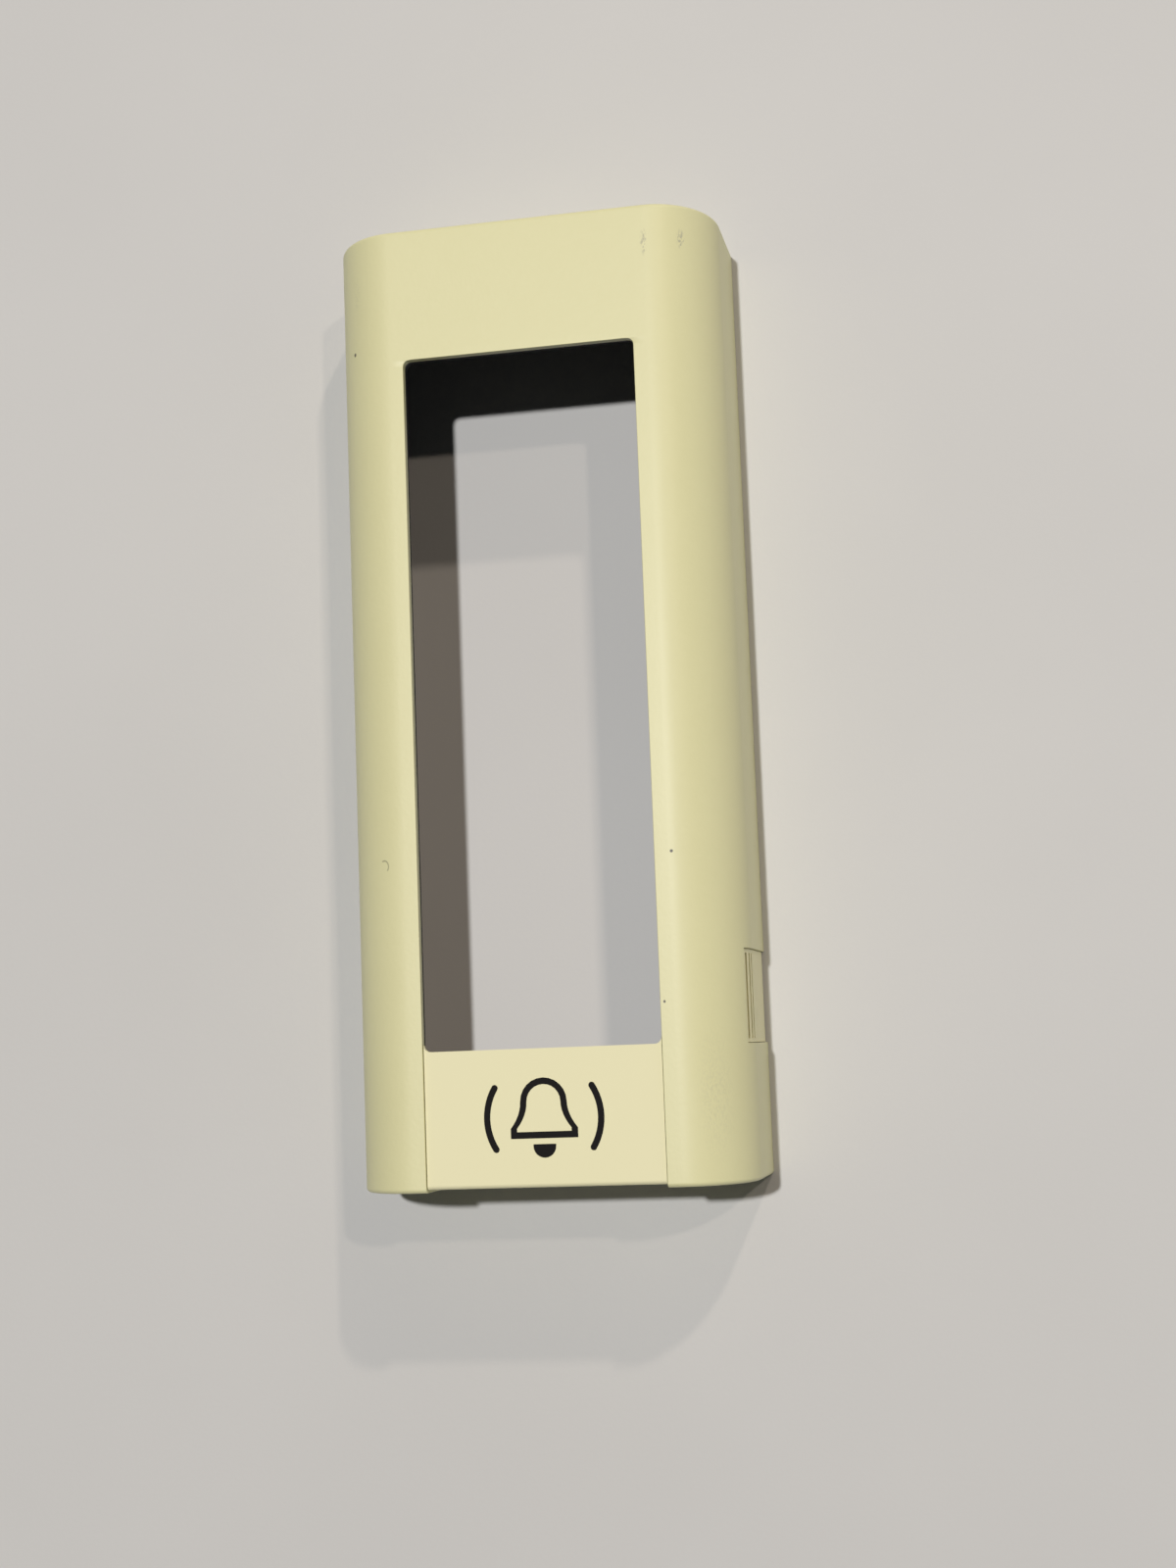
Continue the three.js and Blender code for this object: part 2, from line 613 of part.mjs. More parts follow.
const fastener = new THREE.Group();
fastener.position.z = SCREW_HEIGHT;
const screw = meshOf("security_screw", securityScrew(), steel);
screw.position.y = SCREW_SEAT - FIT;
const retainer = meshOf("screw_retainer", screwRetainer(), nylon);
retainer.position.y = RETAINER_REST;
fastener.add(screw, retainer);
cover.add(fastener);

export default cover;
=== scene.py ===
"""Clip-on front cover of a slim video doorbell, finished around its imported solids.

The painted shell and its heat stakes are surfaces worked out with numpy. The other pieces keep their solids
and get softened edges and their finishes here. Metres. X runs across the cover, Y up its length and Z out of
its face. The origin is the centre of the back plane, which the rim rests on.
"""

from typing import NamedTuple

import bpy
import numpy as np
from bpy.props import FloatProperty, FloatVectorProperty, IntProperty, PointerProperty
from mathutils import Euler, Matrix, Vector


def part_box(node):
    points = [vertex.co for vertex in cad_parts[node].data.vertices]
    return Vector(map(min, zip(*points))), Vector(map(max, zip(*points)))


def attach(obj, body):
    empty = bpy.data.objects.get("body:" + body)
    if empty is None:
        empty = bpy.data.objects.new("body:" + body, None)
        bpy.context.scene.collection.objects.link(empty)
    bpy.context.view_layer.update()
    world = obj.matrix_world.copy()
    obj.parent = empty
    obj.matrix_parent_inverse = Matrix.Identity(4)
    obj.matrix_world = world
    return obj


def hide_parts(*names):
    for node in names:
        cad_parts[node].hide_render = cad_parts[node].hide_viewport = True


bl_info = {
    "name": "Doorbell front cover",
    "version": (1, 0, 0),
    "blender": (4, 5, 0),
    "location": "3D Viewport > Sidebar > Doorbell cover",
    "description": "Builds the clip-on front cover of a slim video doorbell",
    "category": "Add Mesh",
}

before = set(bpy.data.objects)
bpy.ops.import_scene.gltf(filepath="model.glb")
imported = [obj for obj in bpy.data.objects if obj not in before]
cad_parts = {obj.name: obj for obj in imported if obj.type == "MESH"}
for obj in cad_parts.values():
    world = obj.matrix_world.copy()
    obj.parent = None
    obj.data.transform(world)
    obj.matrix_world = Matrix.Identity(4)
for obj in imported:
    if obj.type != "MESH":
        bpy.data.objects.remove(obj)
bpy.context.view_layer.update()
SHELL_LOW, SHELL_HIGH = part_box("front_shell")

MM = 0.001
RIGHT_ANGLE = np.pi / 2


# ---- Sizes, colours and stage ---------------------------------------------------------------------


def length_property(name, description, default):
    """A length in metres that the sidebar shows in the scene's unit."""
    return FloatProperty(
        name=name, description=description, default=default, min=0, precision=5, unit="LENGTH"
    )


def power_property(name, description, default):
    """A light's power in watts."""
    return FloatProperty(name=name, description=description, default=default, min=0, unit="POWER")


def brightness_property(name, description, default):
    """A brightness of the room, where 1 is plain white."""
    return FloatProperty(name=name, description=description, default=default, min=0)


def colour_property(name, description, default):
    """A linear colour."""
    return FloatVectorProperty(
        name=name, description=description, default=default, min=0, max=1, size=3, subtype="COLOR"
    )


class ShellSizes(bpy.types.PropertyGroup):
    """Sizes of the painted shell, its window and its openings."""

    width: length_property("Width", "Across the cover", SHELL_HIGH.x - SHELL_LOW.x)
    length: length_property("Length", "Up the cover", SHELL_HIGH.y - SHELL_LOW.y)
    depth: length_property("Depth", "From the rim to the face", SHELL_HIGH.z - SHELL_LOW.z)
    wall: length_property("Wall", "Thickness of the moulding", 1 * MM)
    round_across: length_property("Rounding across", "Half axis of the long edges' rounding, across", 8 * MM)
    round_deep: length_property("Rounding down", "Half axis of the same rounding, down the side", 9.5 * MM)
    end_round: length_property("End rounding", "Radius where the ends meet the face and sides", 0.5 * MM)
    inner_round: length_property("Inner rounding", "Radius inside the ends", 0.1 * MM)
    window_half: length_property("Half window", "From the middle to the window's long sides", 14 * MM)
    window_high: length_property("Window's upper edge", "Above the middle of the cover", 41.05 * MM)
    window_corner: length_property("Window corner", "Radius of the window's upper corners", 0.8 * MM)
    notch_low: length_property("Notch, far end", "From the middle down to the notch's lower end", 41.4 * MM)
    notch_high: length_property("Notch, near end", "From the middle down to its upper end", 30.5 * MM)
    notch_top: length_property("Notch height", "From the rim to the top of the grille's notch", 14.1 * MM)
    edge: length_property("Edge", "How far sharp edges are rounded off", 0.07 * MM)
    edge_steps: IntProperty(
        name="Edge steps", description="Faces across each softened edge", default=2, min=1
    )


class StakeSizes(bpy.types.PropertyGroup):
    """Sizes of the two heat stakes that hold the carrier in the shell."""

    spacing: length_property("Spacing", "Between the two stakes", 18 * MM)
    along: length_property("Place", "Above the middle of the cover", 49.1 * MM)
    radius: length_property("Shank radius", "Radius of a stake's shank", 0.8 * MM)
    head_radius: length_property("Head radius", "Radius of a stake's melted head", 1.4 * MM)
    head_low: length_property("Head, lower", "Height of the head's lower side", 17.4 * MM)
    head_high: length_property("Head, upper", "Height of the head's upper side", 17.9 * MM)
    root: length_property("Root", "Height that a stake reaches inside the shell's wall", 19.7 * MM)


class FinishColours(bpy.types.PropertyGroup):
    """Colours of the finishes."""

    paint: colour_property("Paint", "Satin paint in even light", (0.74, 0.713, 0.42))
    paint_shade: colour_property("Paint, darker", "Where the coat is a little deeper", (0.70, 0.673, 0.38))
    ink: colour_property("Mark", "The inlaid bell mark", (0.005, 0.0042, 0.0042))
    plastic: colour_property("Black plastic", "Carrier and snap arms", (0.016, 0.0145, 0.014))
    foam: colour_property("Foam", "Window seal", (0.018, 0.018, 0.019))
    cloth: colour_property("Cloth", "Acoustic cloth behind the slots", (0.012, 0.012, 0.013))
    steel: colour_property("Steel", "Security screw", (0.55, 0.55, 0.56))
    nylon: colour_property("Nylon", "Screw retainer", (0.70, 0.69, 0.63))
    table: colour_property("Table", "The pale surface below", (0.62, 0.615, 0.60))


class StageSettings(bpy.types.PropertyGroup):
    """The floor, the lights and the camera's lens."""

    floor_half: length_property("Floor", "Half width of the floor", 3.0)
    key_power: power_property("Key light", "Power of the overhead light", 14.6)
    side_power: power_property("Side light", "Power of the weak light from the right", 3.2)
    upper_power: power_property("Upper light", "Power of the weak light from the upper right", 4.1)
    light_size: length_property("Light size", "Diameter of the lights", 0.055)
    room_low: brightness_property("Room, low", "Brightness of the room's pale walls", 0.32)
    room_high: brightness_property("Room, high", "Brightness of the room's ceiling", 0.03)
    lens: FloatProperty(
        name="Lens", description="Focal length in millimetres", default=51.067, min=1, unit="CAMERA"
    )


# ---- Shader arithmetic ----------------------------------------------------------------------------

# A Mix node has an A, a B and a Result for each kind of value. These are the places of its colour sockets.
MIX_SHARE = 0
MIX_FIRST = 6
MIX_SECOND = 7
MIX_RESULT = 2


def opaque(colour):
    """A colour with full cover."""
    return (*colour, 1.0)


class Value:
    """One shader socket. Python's arithmetic on it adds the Math nodes that it stands for."""

    def __init__(self, finish, socket):
        self.finish = finish
        self.socket = socket

    def of(self, output):
        """Another output of the same node."""
        return Value(self.finish, self.socket.node.outputs[output])

    def __add__(self, other):
        return self.finish.math("ADD", self, other)

    def __sub__(self, other):
        return self.finish.math("SUBTRACT", self, other)

    def __rsub__(self, other):
        return self.finish.math("SUBTRACT", other, self)

    def __mul__(self, other):
        return self.finish.math("MULTIPLY", self, other)

    def __truediv__(self, other):
        return self.finish.math("DIVIDE", self, other)

    def __pow__(self, other):
        return self.finish.math("POWER", self, other)

    __radd__ = __add__
    __rmul__ = __mul__


class Finish:
    """The node tree of a material, a light or the world, filled by its method add."""

    def __init__(self, owner):
        owner.use_nodes = True
        self.owner = owner
        self.tree = owner.node_tree
        self.tree.nodes.clear()

    def add(self, kind, settings=None, sockets=None, output=0):
        """Adds a node: its settings first, then its sockets' values or links. Gives one output as a Value."""
        node = self.tree.nodes.new(kind)
        for name, value in (settings or {}).items():
            setattr(node, name, value)
        for key, value in (sockets or {}).items():
            if isinstance(value, Value):
                self.tree.links.new(value.socket, node.inputs[key])
            else:
                node.inputs[key].default_value = value
        return Value(self, node.outputs[output]) if node.outputs else None

    def math(self, operation, *inputs):
        """One step of arithmetic on values and numbers."""
        return self.add("ShaderNodeMath", {"operation": operation}, dict(enumerate(inputs)))

    def vector(self, operation, *inputs, output="Vector"):
        """One step of arithmetic on points and triples of numbers."""
        return self.add("ShaderNodeVectorMath", {"operation": operation}, dict(enumerate(inputs)), output)

    def place(self):
        """The point on the piece, in metres from the cover's origin."""
        return self.add("ShaderNodeTexCoord", output="Object")

    def axes(self, point):
        """A point's three coordinates."""
        x = self.add("ShaderNodeSeparateXYZ", sockets={0: point})
        return x, x.of("Y"), x.of("Z")

    def stretched(self, point, scale):
        """A point with its coordinates multiplied by three numbers."""
        return self.vector("MULTIPLY", point, scale)

    def grain(self, point, size, detail=2.0, roughness=0.5):
        """Noise from 0 to 1 whose lumps are about size metres across."""
        sockets = {"Vector": point, "Scale": 1 / size, "Detail": detail, "Roughness": roughness}
        return self.add("ShaderNodeTexNoise", sockets=sockets, output="Fac")

    def cells(self, point, size):
        """Distance to the nearest of scattered points about size metres apart, in spacings."""
        sockets = {"Vector": point, "Scale": 1 / size}
        return self.add("ShaderNodeTexVoronoi", sockets=sockets, output="Distance")

    def ramp(self, value, none, full):
        """A soft step: 0 where value is none and 1 where it is full, either of which may be the larger."""
        sockets = {"Value": value, "From Min": none, "From Max": full}
        return self.add("ShaderNodeMapRange", {"interpolation_type": "SMOOTHSTEP"}, sockets)

    def blend(self, share, first, second):
        """Goes from one colour to another as share goes from 0 to 1."""
        sockets = {MIX_SHARE: share}
        for place, colour in ((MIX_FIRST, first), (MIX_SECOND, second)):
            sockets[place] = colour if isinstance(colour, Value) else opaque(colour)
        settings = {"data_type": "RGBA", "clamp_factor": True}
        return self.add("ShaderNodeMix", settings, sockets, MIX_RESULT)

    def bump(self, height, depth, under=None):
        """A normal raised by height times depth metres, on top of another normal."""
        sockets = {"Height": height, "Distance": depth}
        if under is not None:
            sockets["Normal"] = under
        return self.add("ShaderNodeBump", sockets=sockets)

    def surface(self, **sockets):
        """Ends the tree in one shader. Words in a socket's name are joined by underscores."""
        named = {key.replace("_", " "): value for key, value in sockets.items()}
        shader = self.add("ShaderNodeBsdfPrincipled", sockets=named)
        self.add("ShaderNodeOutputMaterial", sockets={"Surface": shader})
        return self.owner


def new_finish(name):
    """An empty finish for a material of that name, and the point on the piece that it colours."""
    finish = Finish(bpy.data.materials.new(name))
    return finish, finish.place()


def weighed(first, second, share):
    """Two values as one: the first counts for share, and the second for the rest."""
    return first * share + second * (1 - share)


def shade(colour, factor, lift=0.0):
    """A colour multiplied by a factor and raised by lift."""
    return [channel * factor + lift for channel in colour]


def in_metres(millimetres):
    """Millimetres, as this file's lists of marks have them, in metres."""
    return [number * MM for number in millimetres]


# ---- Finishes -------------------------------------------------------------------------------------


class Mark(NamedTuple):
    """A small mark of use on the paint. It fills an ellipsoid, given in millimetres."""

    centre: tuple
    half_sizes: tuple
    depth: float  # how far the paint turns to the mark's tone
    hardness: float  # 1 fades all the way from the centre, and more keeps the tone further out


PAINT_SPECKS = (
    Mark((16.0, -19.4, 20.3), (0.22, 0.22, 2.0), depth=0.95, hardness=3.0),
    Mark((-20.5, 43.0, 17.5), (0.22, 0.30, 2.0), depth=0.90, hardness=3.0),
    Mark((14.5, -36.4, 20.3), (0.16, 0.20, 1.0), depth=0.90, hardness=3.0),
)
PAINT_SCUFFS = (
    Mark((15.7, 52.5, 20.3), (0.45, 1.9, 3.0), depth=0.60, hardness=1.8),
    Mark((19.9, 52.9, 18.5), (0.50, 1.4, 3.0), depth=0.65, hardness=1.8),
    Mark((19.6, -47.0, 18.5), (2.6, 9.0, 5.0), depth=0.16, hardness=1.0),
    Mark((-19.9, 50.0, 18.5), (0.8, 4.0, 3.0), depth=0.15, hardness=1.0),
)
SPECK_TONE = (0.035, 0.028, 0.022)
SCUFF_TONE = (0.33, 0.32, 0.26)
STREAK_STRETCH = (2.2, 1.0, 2.2)  # a scuff's streaks run along Y

# A short curled hair in the paint: the upper right part of an oval. Lengths are in millimetres.
CURL_CENTRE = (-18.1, -19.4, 19.9)
CURL_RADIUS = 0.55
CURL_SQUEEZE = 0.8  # the radius is along X, and 1 over this times as long along Y
CURL_HALF_WIDTH = 0.11
CURL_LEAN = 0.6  # the part that shows is where x + CURL_LEAN y is above 0
CURL_FADE = 0.2  # its ends fade in over this length
CURL_NEAR = 2  # whole up to this far above and below its centre
CURL_FAR = 3  # and gone from this far on
CURL_DEPTH = 0.6  # how far the paint turns to the specks' tone

THREAD_PITCH = 0.16 * MM  # between the cloth's threads
GROOVE_PITCH = 0.09 * MM  # between the grooves that the lathe left on the screw


def marks(finish, point, listed):
    """How much of the marks' tone a point takes, all marks added up.

    A mark gives its depth times the lesser of 1 and its hardness times (1 - r), where r goes from 0 at the
    centre to 1 on the ellipsoid. Outside the ellipsoid it gives nothing.
    """
    cover = 0.0
    for mark in listed:
        away = finish.vector("SUBTRACT", point, in_metres(mark.centre))
        shares = finish.vector("DIVIDE", away, in_metres(mark.half_sizes))
        inside = finish.math("MAXIMUM", 1 - finish.vector("LENGTH", shares, output="Value"), 0.0)
        cover = finish.math("MINIMUM", inside * mark.hardness, 1.0) * mark.depth + cover
    return cover


def curled_hair(finish, point):
    """1 along the middle of the hair and 0 off it: how near a point is to the oval, on its kept part."""
    away = finish.vector("SUBTRACT", point, in_metres(CURL_CENTRE))
    reach = finish.vector("LENGTH", finish.stretched(away, (1.0, CURL_SQUEEZE, 0.0)), output="Value")
    off_oval = finish.math("ABSOLUTE", reach - CURL_RADIUS * MM)
    hair = finish.math("MAXIMUM", 1 - off_oval / (CURL_HALF_WIDTH * MM), 0.0)
    x, y, z = finish.axes(away)
    kept = finish.ramp(x + y * CURL_LEAN, none=0.0, full=CURL_FADE * MM)
    level = finish.ramp(finish.math("ABSOLUTE", z), none=CURL_FAR * MM, full=CURL_NEAR * MM)
    return hair * kept * level


def ivory_paint(colours):
    """Satin paint on a moulding: a slight orange peel, clouds in the coat, and small marks of use."""
    finish, point = new_finish("ivory_paint")
    clouds = finish.grain(point, size=14 * MM, detail=3)
    mottle = finish.grain(point, size=1.1 * MM, detail=3)
    coat = finish.blend(weighed(clouds, mottle, share=0.6), colours.paint_shade, colours.paint)
    along = finish.stretched(point, STREAK_STRETCH)
    streaks = finish.grain(along, size=0.42 * MM, detail=3, roughness=0.6)
    scuffed = marks(finish, point, PAINT_SCUFFS) * finish.ramp(streaks, none=0.44, full=0.62)
    speckled = marks(finish, point, PAINT_SPECKS) + curled_hair(finish, point) * CURL_DEPTH
    peel = finish.grain(point, size=0.55 * MM)
    dust = finish.grain(point, size=0.12 * MM)
    return finish.surface(
        Base_Color=finish.blend(speckled, finish.blend(scuffed, coat, SCUFF_TONE), SPECK_TONE),
        Roughness=0.40 + clouds * 0.10 + dust * 0.08 + scuffed * 0.2,
        Normal=finish.bump(dust, depth=0.0035 * MM, under=finish.bump(peel, depth=0.018 * MM)),
        Coat_Weight=0.08 + clouds * 0.05,
        Coat_Roughness=0.35,
        Specular_IOR_Level=0.45,
    )


def black_plastic(colours):
    """Spark-eroded black moulding: fine pits all over, and a dull bloom in patches."""
    finish, point = new_finish("black_plastic")
    pits = finish.grain(point, size=0.22 * MM, detail=4, roughness=0.6)
    bloom = finish.grain(point, size=6 * MM, detail=3)
    dull = finish.ramp(weighed(pits, bloom, share=0.5), none=0.40, full=0.66)
    return finish.surface(
        Base_Color=finish.blend(dull, colours.plastic, shade(colours.plastic, factor=2.1, lift=0.004)),
        Roughness=0.42 + pits * 0.2 + bloom * 0.1,
        Normal=finish.bump(pits, depth=0.022 * MM),
        Specular_IOR_Level=0.5,
    )


def mark_ink(colours):
    """Black inlay: even, with a faint grain and gloss that comes and goes."""
    finish, point = new_finish("mark_ink")
    grain = finish.grain(point, size=0.16 * MM, detail=3)
    return finish.surface(
        Base_Color=finish.blend(grain, colours.ink, shade(colours.ink, factor=1.9)),
        Roughness=0.52 + grain * 0.18,
        Normal=finish.bump(grain, depth=0.004 * MM),
        Specular_IOR_Level=0.1,
    )


def open_foam(colours):
    """Black foam: small open cells. The colour is painted lighter on the raised cell walls and darker in the
    hollows between them, a painted shade that follows the bump.
    """
    finish, point = new_finish("open_foam")
    cells = finish.cells(point, size=0.26 * MM)
    fine = finish.grain(point, size=0.09 * MM)
    walls = finish.ramp(cells, none=0.25, full=0.75)
    # pale follows the cells' relief: the cell walls are painted lighter and the hollows darker, as painted
    # shade.
    pale = weighed(walls, fine, share=0.8)
    return finish.surface(
        Base_Color=finish.blend(pale, colours.foam, shade(colours.foam, factor=2.6)),
        Roughness=0.85 + fine * 0.12,
        Normal=finish.bump(cells + fine * 0.3, depth=0.06 * MM),
        Specular_IOR_Level=0.25,
    )


def woven_cloth(colours):
    """Plain weave of round threads: each is a sine ridge that dips at every second crossing. The colour is
    painted lighter on the thread tops and darker in the hollows between them, a painted shade that follows the
    weave's height.
    """
    finish, point = new_finish("woven_cloth")
    _, y, z = finish.axes(point)
    turns = np.pi / THREAD_PITCH
    along = finish.math("SINE", y * turns)
    up = finish.math("SINE", z * turns)
    crossings = finish.ramp(along * up, none=-1.0, full=1.0)
    ridges = finish.math("ABSOLUTE", along) * finish.math("ABSOLUTE", up)
    fuzz = finish.grain(point, size=0.05 * MM, detail=3)
    height = crossings * 0.4 + ridges * 0.5 + fuzz * 0.1
    return finish.surface(
        # The weave's height also sets the colour: thread tops painted lighter, hollows between threads painted
        # darker as shade.
        Base_Color=finish.blend(height, colours.cloth, shade(colours.cloth, factor=3.0)),
        Roughness=0.80 + fuzz * 0.15,
        Normal=finish.bump(height, depth=0.05 * MM),
    )


def turned_steel(colours):
    """Steel turned on a lathe: fine grooves about the screw's own line, and a slight stain over them."""
    finish, point = new_finish("turned_steel")
    screw_low, screw_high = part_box("security_screw")
    x, y, z = finish.axes(point)
    height = z - (screw_low.z + screw_high.z) / 2
    radius = (x * x + height * height) ** 0.5
    grooves = finish.math("SINE", (radius + y) * (2 * np.pi / GROOVE_PITCH))
    stain = finish.grain(point, size=0.9 * MM, detail=4)
    return finish.surface(
        Base_Color=finish.blend(stain, shade(colours.steel, factor=0.72), colours.steel),
        Metallic=1.0,
        Roughness=0.24 + stain * 0.16,
        Normal=finish.bump(grooves, depth=0.0025 * MM),
    )


def moulded_nylon(colours):
    """Natural nylon: milky, with a soft grain."""
    finish, point = new_finish("moulded_nylon")
    clouds = finish.grain(point, size=0.7 * MM, detail=3)
    return finish.surface(
        Base_Color=finish.blend(clouds, shade(colours.nylon, factor=0.86), colours.nylon),
        Roughness=0.42 + clouds * 0.16,
        Normal=finish.bump(clouds, depth=0.01 * MM),
    )


def pale_table(colours):
    """Smooth pale surface with faint clouds."""
    finish, point = new_finish("pale_table")
    clouds = finish.ramp(finish.grain(point, size=70 * MM, detail=4), none=0.3, full=0.7)
    tooth = finish.grain(point, size=0.6 * MM, detail=3)
    tone = weighed(clouds, tooth, share=0.7)
    return finish.surface(
        Base_Color=finish.blend(tone, shade(colours.table, factor=0.955), colours.table),
        Roughness=0.62 + tooth * 0.1,
        Normal=finish.bump(tooth, depth=0.01 * MM),
    )


# ---- Meshes ---------------------------------------------------------------------------------------

SHARP_ANGLE = 35  # degrees: edges that turn more than this are rounded off
FLAT_ANGLE = 0.6  # degrees: triangles that turn less than this are one face
SAME_POINT = 0.0001 * MM  # points closer than this are one


def grid_faces(rows, columns, keep):
    """Quads of a grid numbered row by row, for the cells where keep is true.

    The quad at row r and column c joins the points (r, c), (r + 1, c), (r + 1, c + 1) and (r, c + 1).
    """
    numbers = np.arange(rows * columns).reshape(rows, columns)
    corners = (numbers[:-1, :-1], numbers[1:, :-1], numbers[1:, 1:], numbers[:-1, 1:])
    return np.stack(corners, axis=-1)[keep]


def side_faces(groups, offset):
    """Quads that close a wall: from every edge that only one face uses to the same edge offset numbers on.

    Each group is an array of faces with as many corners, one face in a row.
    """
    starts = np.concatenate([group.ravel() for group in groups])
    ends = np.concatenate([np.roll(group, -1, axis=1).ravel() for group in groups])
    base = int(starts.max()) + 1
    alone = ~np.isin(starts * base + ends, ends * base + starts)
    starts, ends = starts[alone], ends[alone]
    return np.stack([ends, starts, starts + offset, ends + offset], axis=-1)


def new_object(name, data):
    """An object in the scene that shows a mesh, a light or a camera."""
    made = bpy.data.objects.new(name, data)
    bpy.context.scene.collection.objects.link(made)
    return made


def new_piece(name, points, faces, body, material):
    """A piece from its points and outward faces, smooth, in its finish, riding on a body."""
    mesh = bpy.data.meshes.new(name)
    mesh.from_pydata(np.asarray(points).tolist(), [], faces)
    if mesh.validate():
        raise RuntimeError(f"{name} has a face that is not sound")
    mesh.polygons.foreach_set("use_smooth", np.ones(len(mesh.polygons), dtype=bool))
    mesh.materials.append(material)
    mesh.update()
    piece = new_object(name, mesh)
    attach(piece, body)
    return piece


def soften(piece, width, steps):
    """Rounds off the sharp edges, and lets the large faces lead the shading."""
    bevel = piece.modifiers.new("soft_edges", "BEVEL")
    bevel.width = width
    bevel.segments = steps
    bevel.limit_method = "ANGLE"
    bevel.angle_limit = np.radians(SHARP_ANGLE)
    bevel.use_clamp_overlap = True
    shading = piece.modifiers.new("flat_faces", "WEIGHTED_NORMAL")
    shading.keep_sharp = False


def dress_node(name, material, edge=0.0, steps=2):
    """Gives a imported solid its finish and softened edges. Its loose triangles are joined into whole faces."""
    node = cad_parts[name]
    for holder in node.material_slots:
        holder.material = material
    node.data.polygons.foreach_set("use_smooth", np.ones(len(node.data.polygons), dtype=bool))
    weld = node.modifiers.new("joined", "WELD")
    weld.merge_threshold = SAME_POINT
    flats = node.modifiers.new("whole_faces", "DECIMATE")
    flats.decimate_type = "DISSOLVE"
    flats.angle_limit = np.radians(FLAT_ANGLE)
    if edge:
        soften(node, edge, steps)


# ---- Front shell ----------------------------------------------------------------------------------

# Columns of a skin: up a side wall, over the long edge below and above the notch's top, across the middle.
WALL_STEPS = 5
ROUND_STEPS_BELOW = 7
ROUND_STEPS_ABOVE = 17
MIDDLE_STEPS = 14
# Rows of a skin, from the lower end to the upper one.
LOW_STEPS = 4
NOTCH_STEPS = 4
WINDOW_STEPS = 12
CORNER_STEPS = 7
FADE_STEPS = 3
HIGH_STEPS = 3
END_STEPS = 5  # rows of the quarter round at each end
END_WALLS = 3  # how many wall thicknesses from the ends the first and the last row lie
FADE = 3 * MM


def shell_rows(sizes):
    """Places of a skin's rows along Y between the rounded ends, and how far each moves the window's side in.

    Rows fall on the notch's ends and the window's upper edge. Over the window's corner the row at turn t lies
    at y = high - corner + corner sin t, where the side has moved in by corner (1 - cos t). Above the window
    that shift fades to nothing along FADE.
    """
    end = sizes.length / 2 - END_WALLS * sizes.wall
    corner_start = sizes.window_high - sizes.window_corner
    turn = np.linspace(0, RIGHT_ANGLE, CORNER_STEPS + 1)
    below = np.linspace(-end, -sizes.notch_low, LOW_STEPS, endpoint=False)
    notch = np.linspace(-sizes.notch_low, -sizes.notch_high, NOTCH_STEPS, endpoint=False)
    window = np.linspace(-sizes.notch_high, corner_start, WINDOW_STEPS, endpoint=False)
    corner = corner_start + sizes.window_corner * np.sin(turn)
    fading = np.linspace(sizes.window_high, sizes.window_high + FADE, FADE_STEPS + 1)[1:]
    above = np.linspace(sizes.window_high + FADE, end, HIGH_STEPS + 1)[1:]
    y = np.concatenate([below, notch, window, corner, fading, above])
    corner_shift = sizes.window_corner * (1 - np.cos(turn))
    fading_shift = sizes.window_corner * (1 - (fading - sizes.window_high) / FADE)
    no_shift = np.zeros(LOW_STEPS + NOTCH_STEPS + WINDOW_STEPS)
    shift = np.concatenate([no_shift, corner_shift, fading_shift, np.zeros(HIGH_STEPS)])
    return y, shift


def rounded_ends(y, shift, end, inset, radius):
    """Adds the rows of a quarter round at both ends, and gives every row's inset.

    At turn t, y = end - radius (1 - sin t) and the section is moved in by a further radius (1 - cos t).
    """
    turn = np.linspace(RIGHT_ANGLE, 0, END_STEPS + 1)
    y_end = end - radius * (1 - np.sin(turn))
    further = radius * (1 - np.cos(turn))
    all_y = np.concatenate([-y_end, y, y_end[::-1]])
    none = np.zeros(len(turn))
    all_shift = np.concatenate([none, shift, none])
    all_inset = inset + np.concatenate([further, np.zeros(len(y)), further[::-1]])
    return all_y, all_shift, all_inset


def shell_skin(sizes, y, shift, inset):
    """One skin of the shell as rows along Y and columns from the right rim over the face to the left rim.

    Up the side x is half the width less the inset. Over the long edge, at turn t from 0 to a right angle,
    x = centre + (across - inset) cos t and z = spring + (deep - inset) sin t, in two even stretches of t that
    meet at the notch's upper edge. The next column is the window's side, and the middle columns share out
    the way to the other side. The left half mirrors the right.
    """
    inset = inset[:, None]
    shift = shift[:, None]
    centre = sizes.width / 2 - sizes.round_across
    spring = sizes.depth - sizes.round_deep
    across = sizes.round_across - inset
    deep = sizes.round_deep - inset
    notch = np.arcsin((sizes.notch_top - spring) / deep)
    below = notch * np.linspace(0, 1, ROUND_STEPS_BELOW, endpoint=False)
    above = notch + (RIGHT_ANGLE - notch) * np.linspace(0, 1, ROUND_STEPS_ABOVE + 1)
    turn = np.concatenate([below, above], axis=1)
    level = np.ones_like(inset)
    side_x = (sizes.width / 2 - inset) * np.ones(WALL_STEPS)
    side_z = level * spring * np.linspace(0, 1, WALL_STEPS, endpoint=False)
    window = sizes.window_half - shift
    half_x = np.concatenate([side_x, centre + across * np.cos(turn), window], axis=1)
    half_z = np.concatenate([side_z, spring + deep * np.sin(turn), sizes.depth - inset], axis=1)
    middle_x = window * np.linspace(1, -1, MIDDLE_STEPS + 1)[1:-1]
    middle_z = (sizes.depth - inset) * np.ones(MIDDLE_STEPS - 1)
    x = np.concatenate([half_x, middle_x, -half_x[:, ::-1]], axis=1)
    z = np.concatenate([half_z, middle_z, half_z[:, ::-1]], axis=1)
    return np.stack([x, np.broadcast_to(y[:, None], x.shape), z], axis=-1)


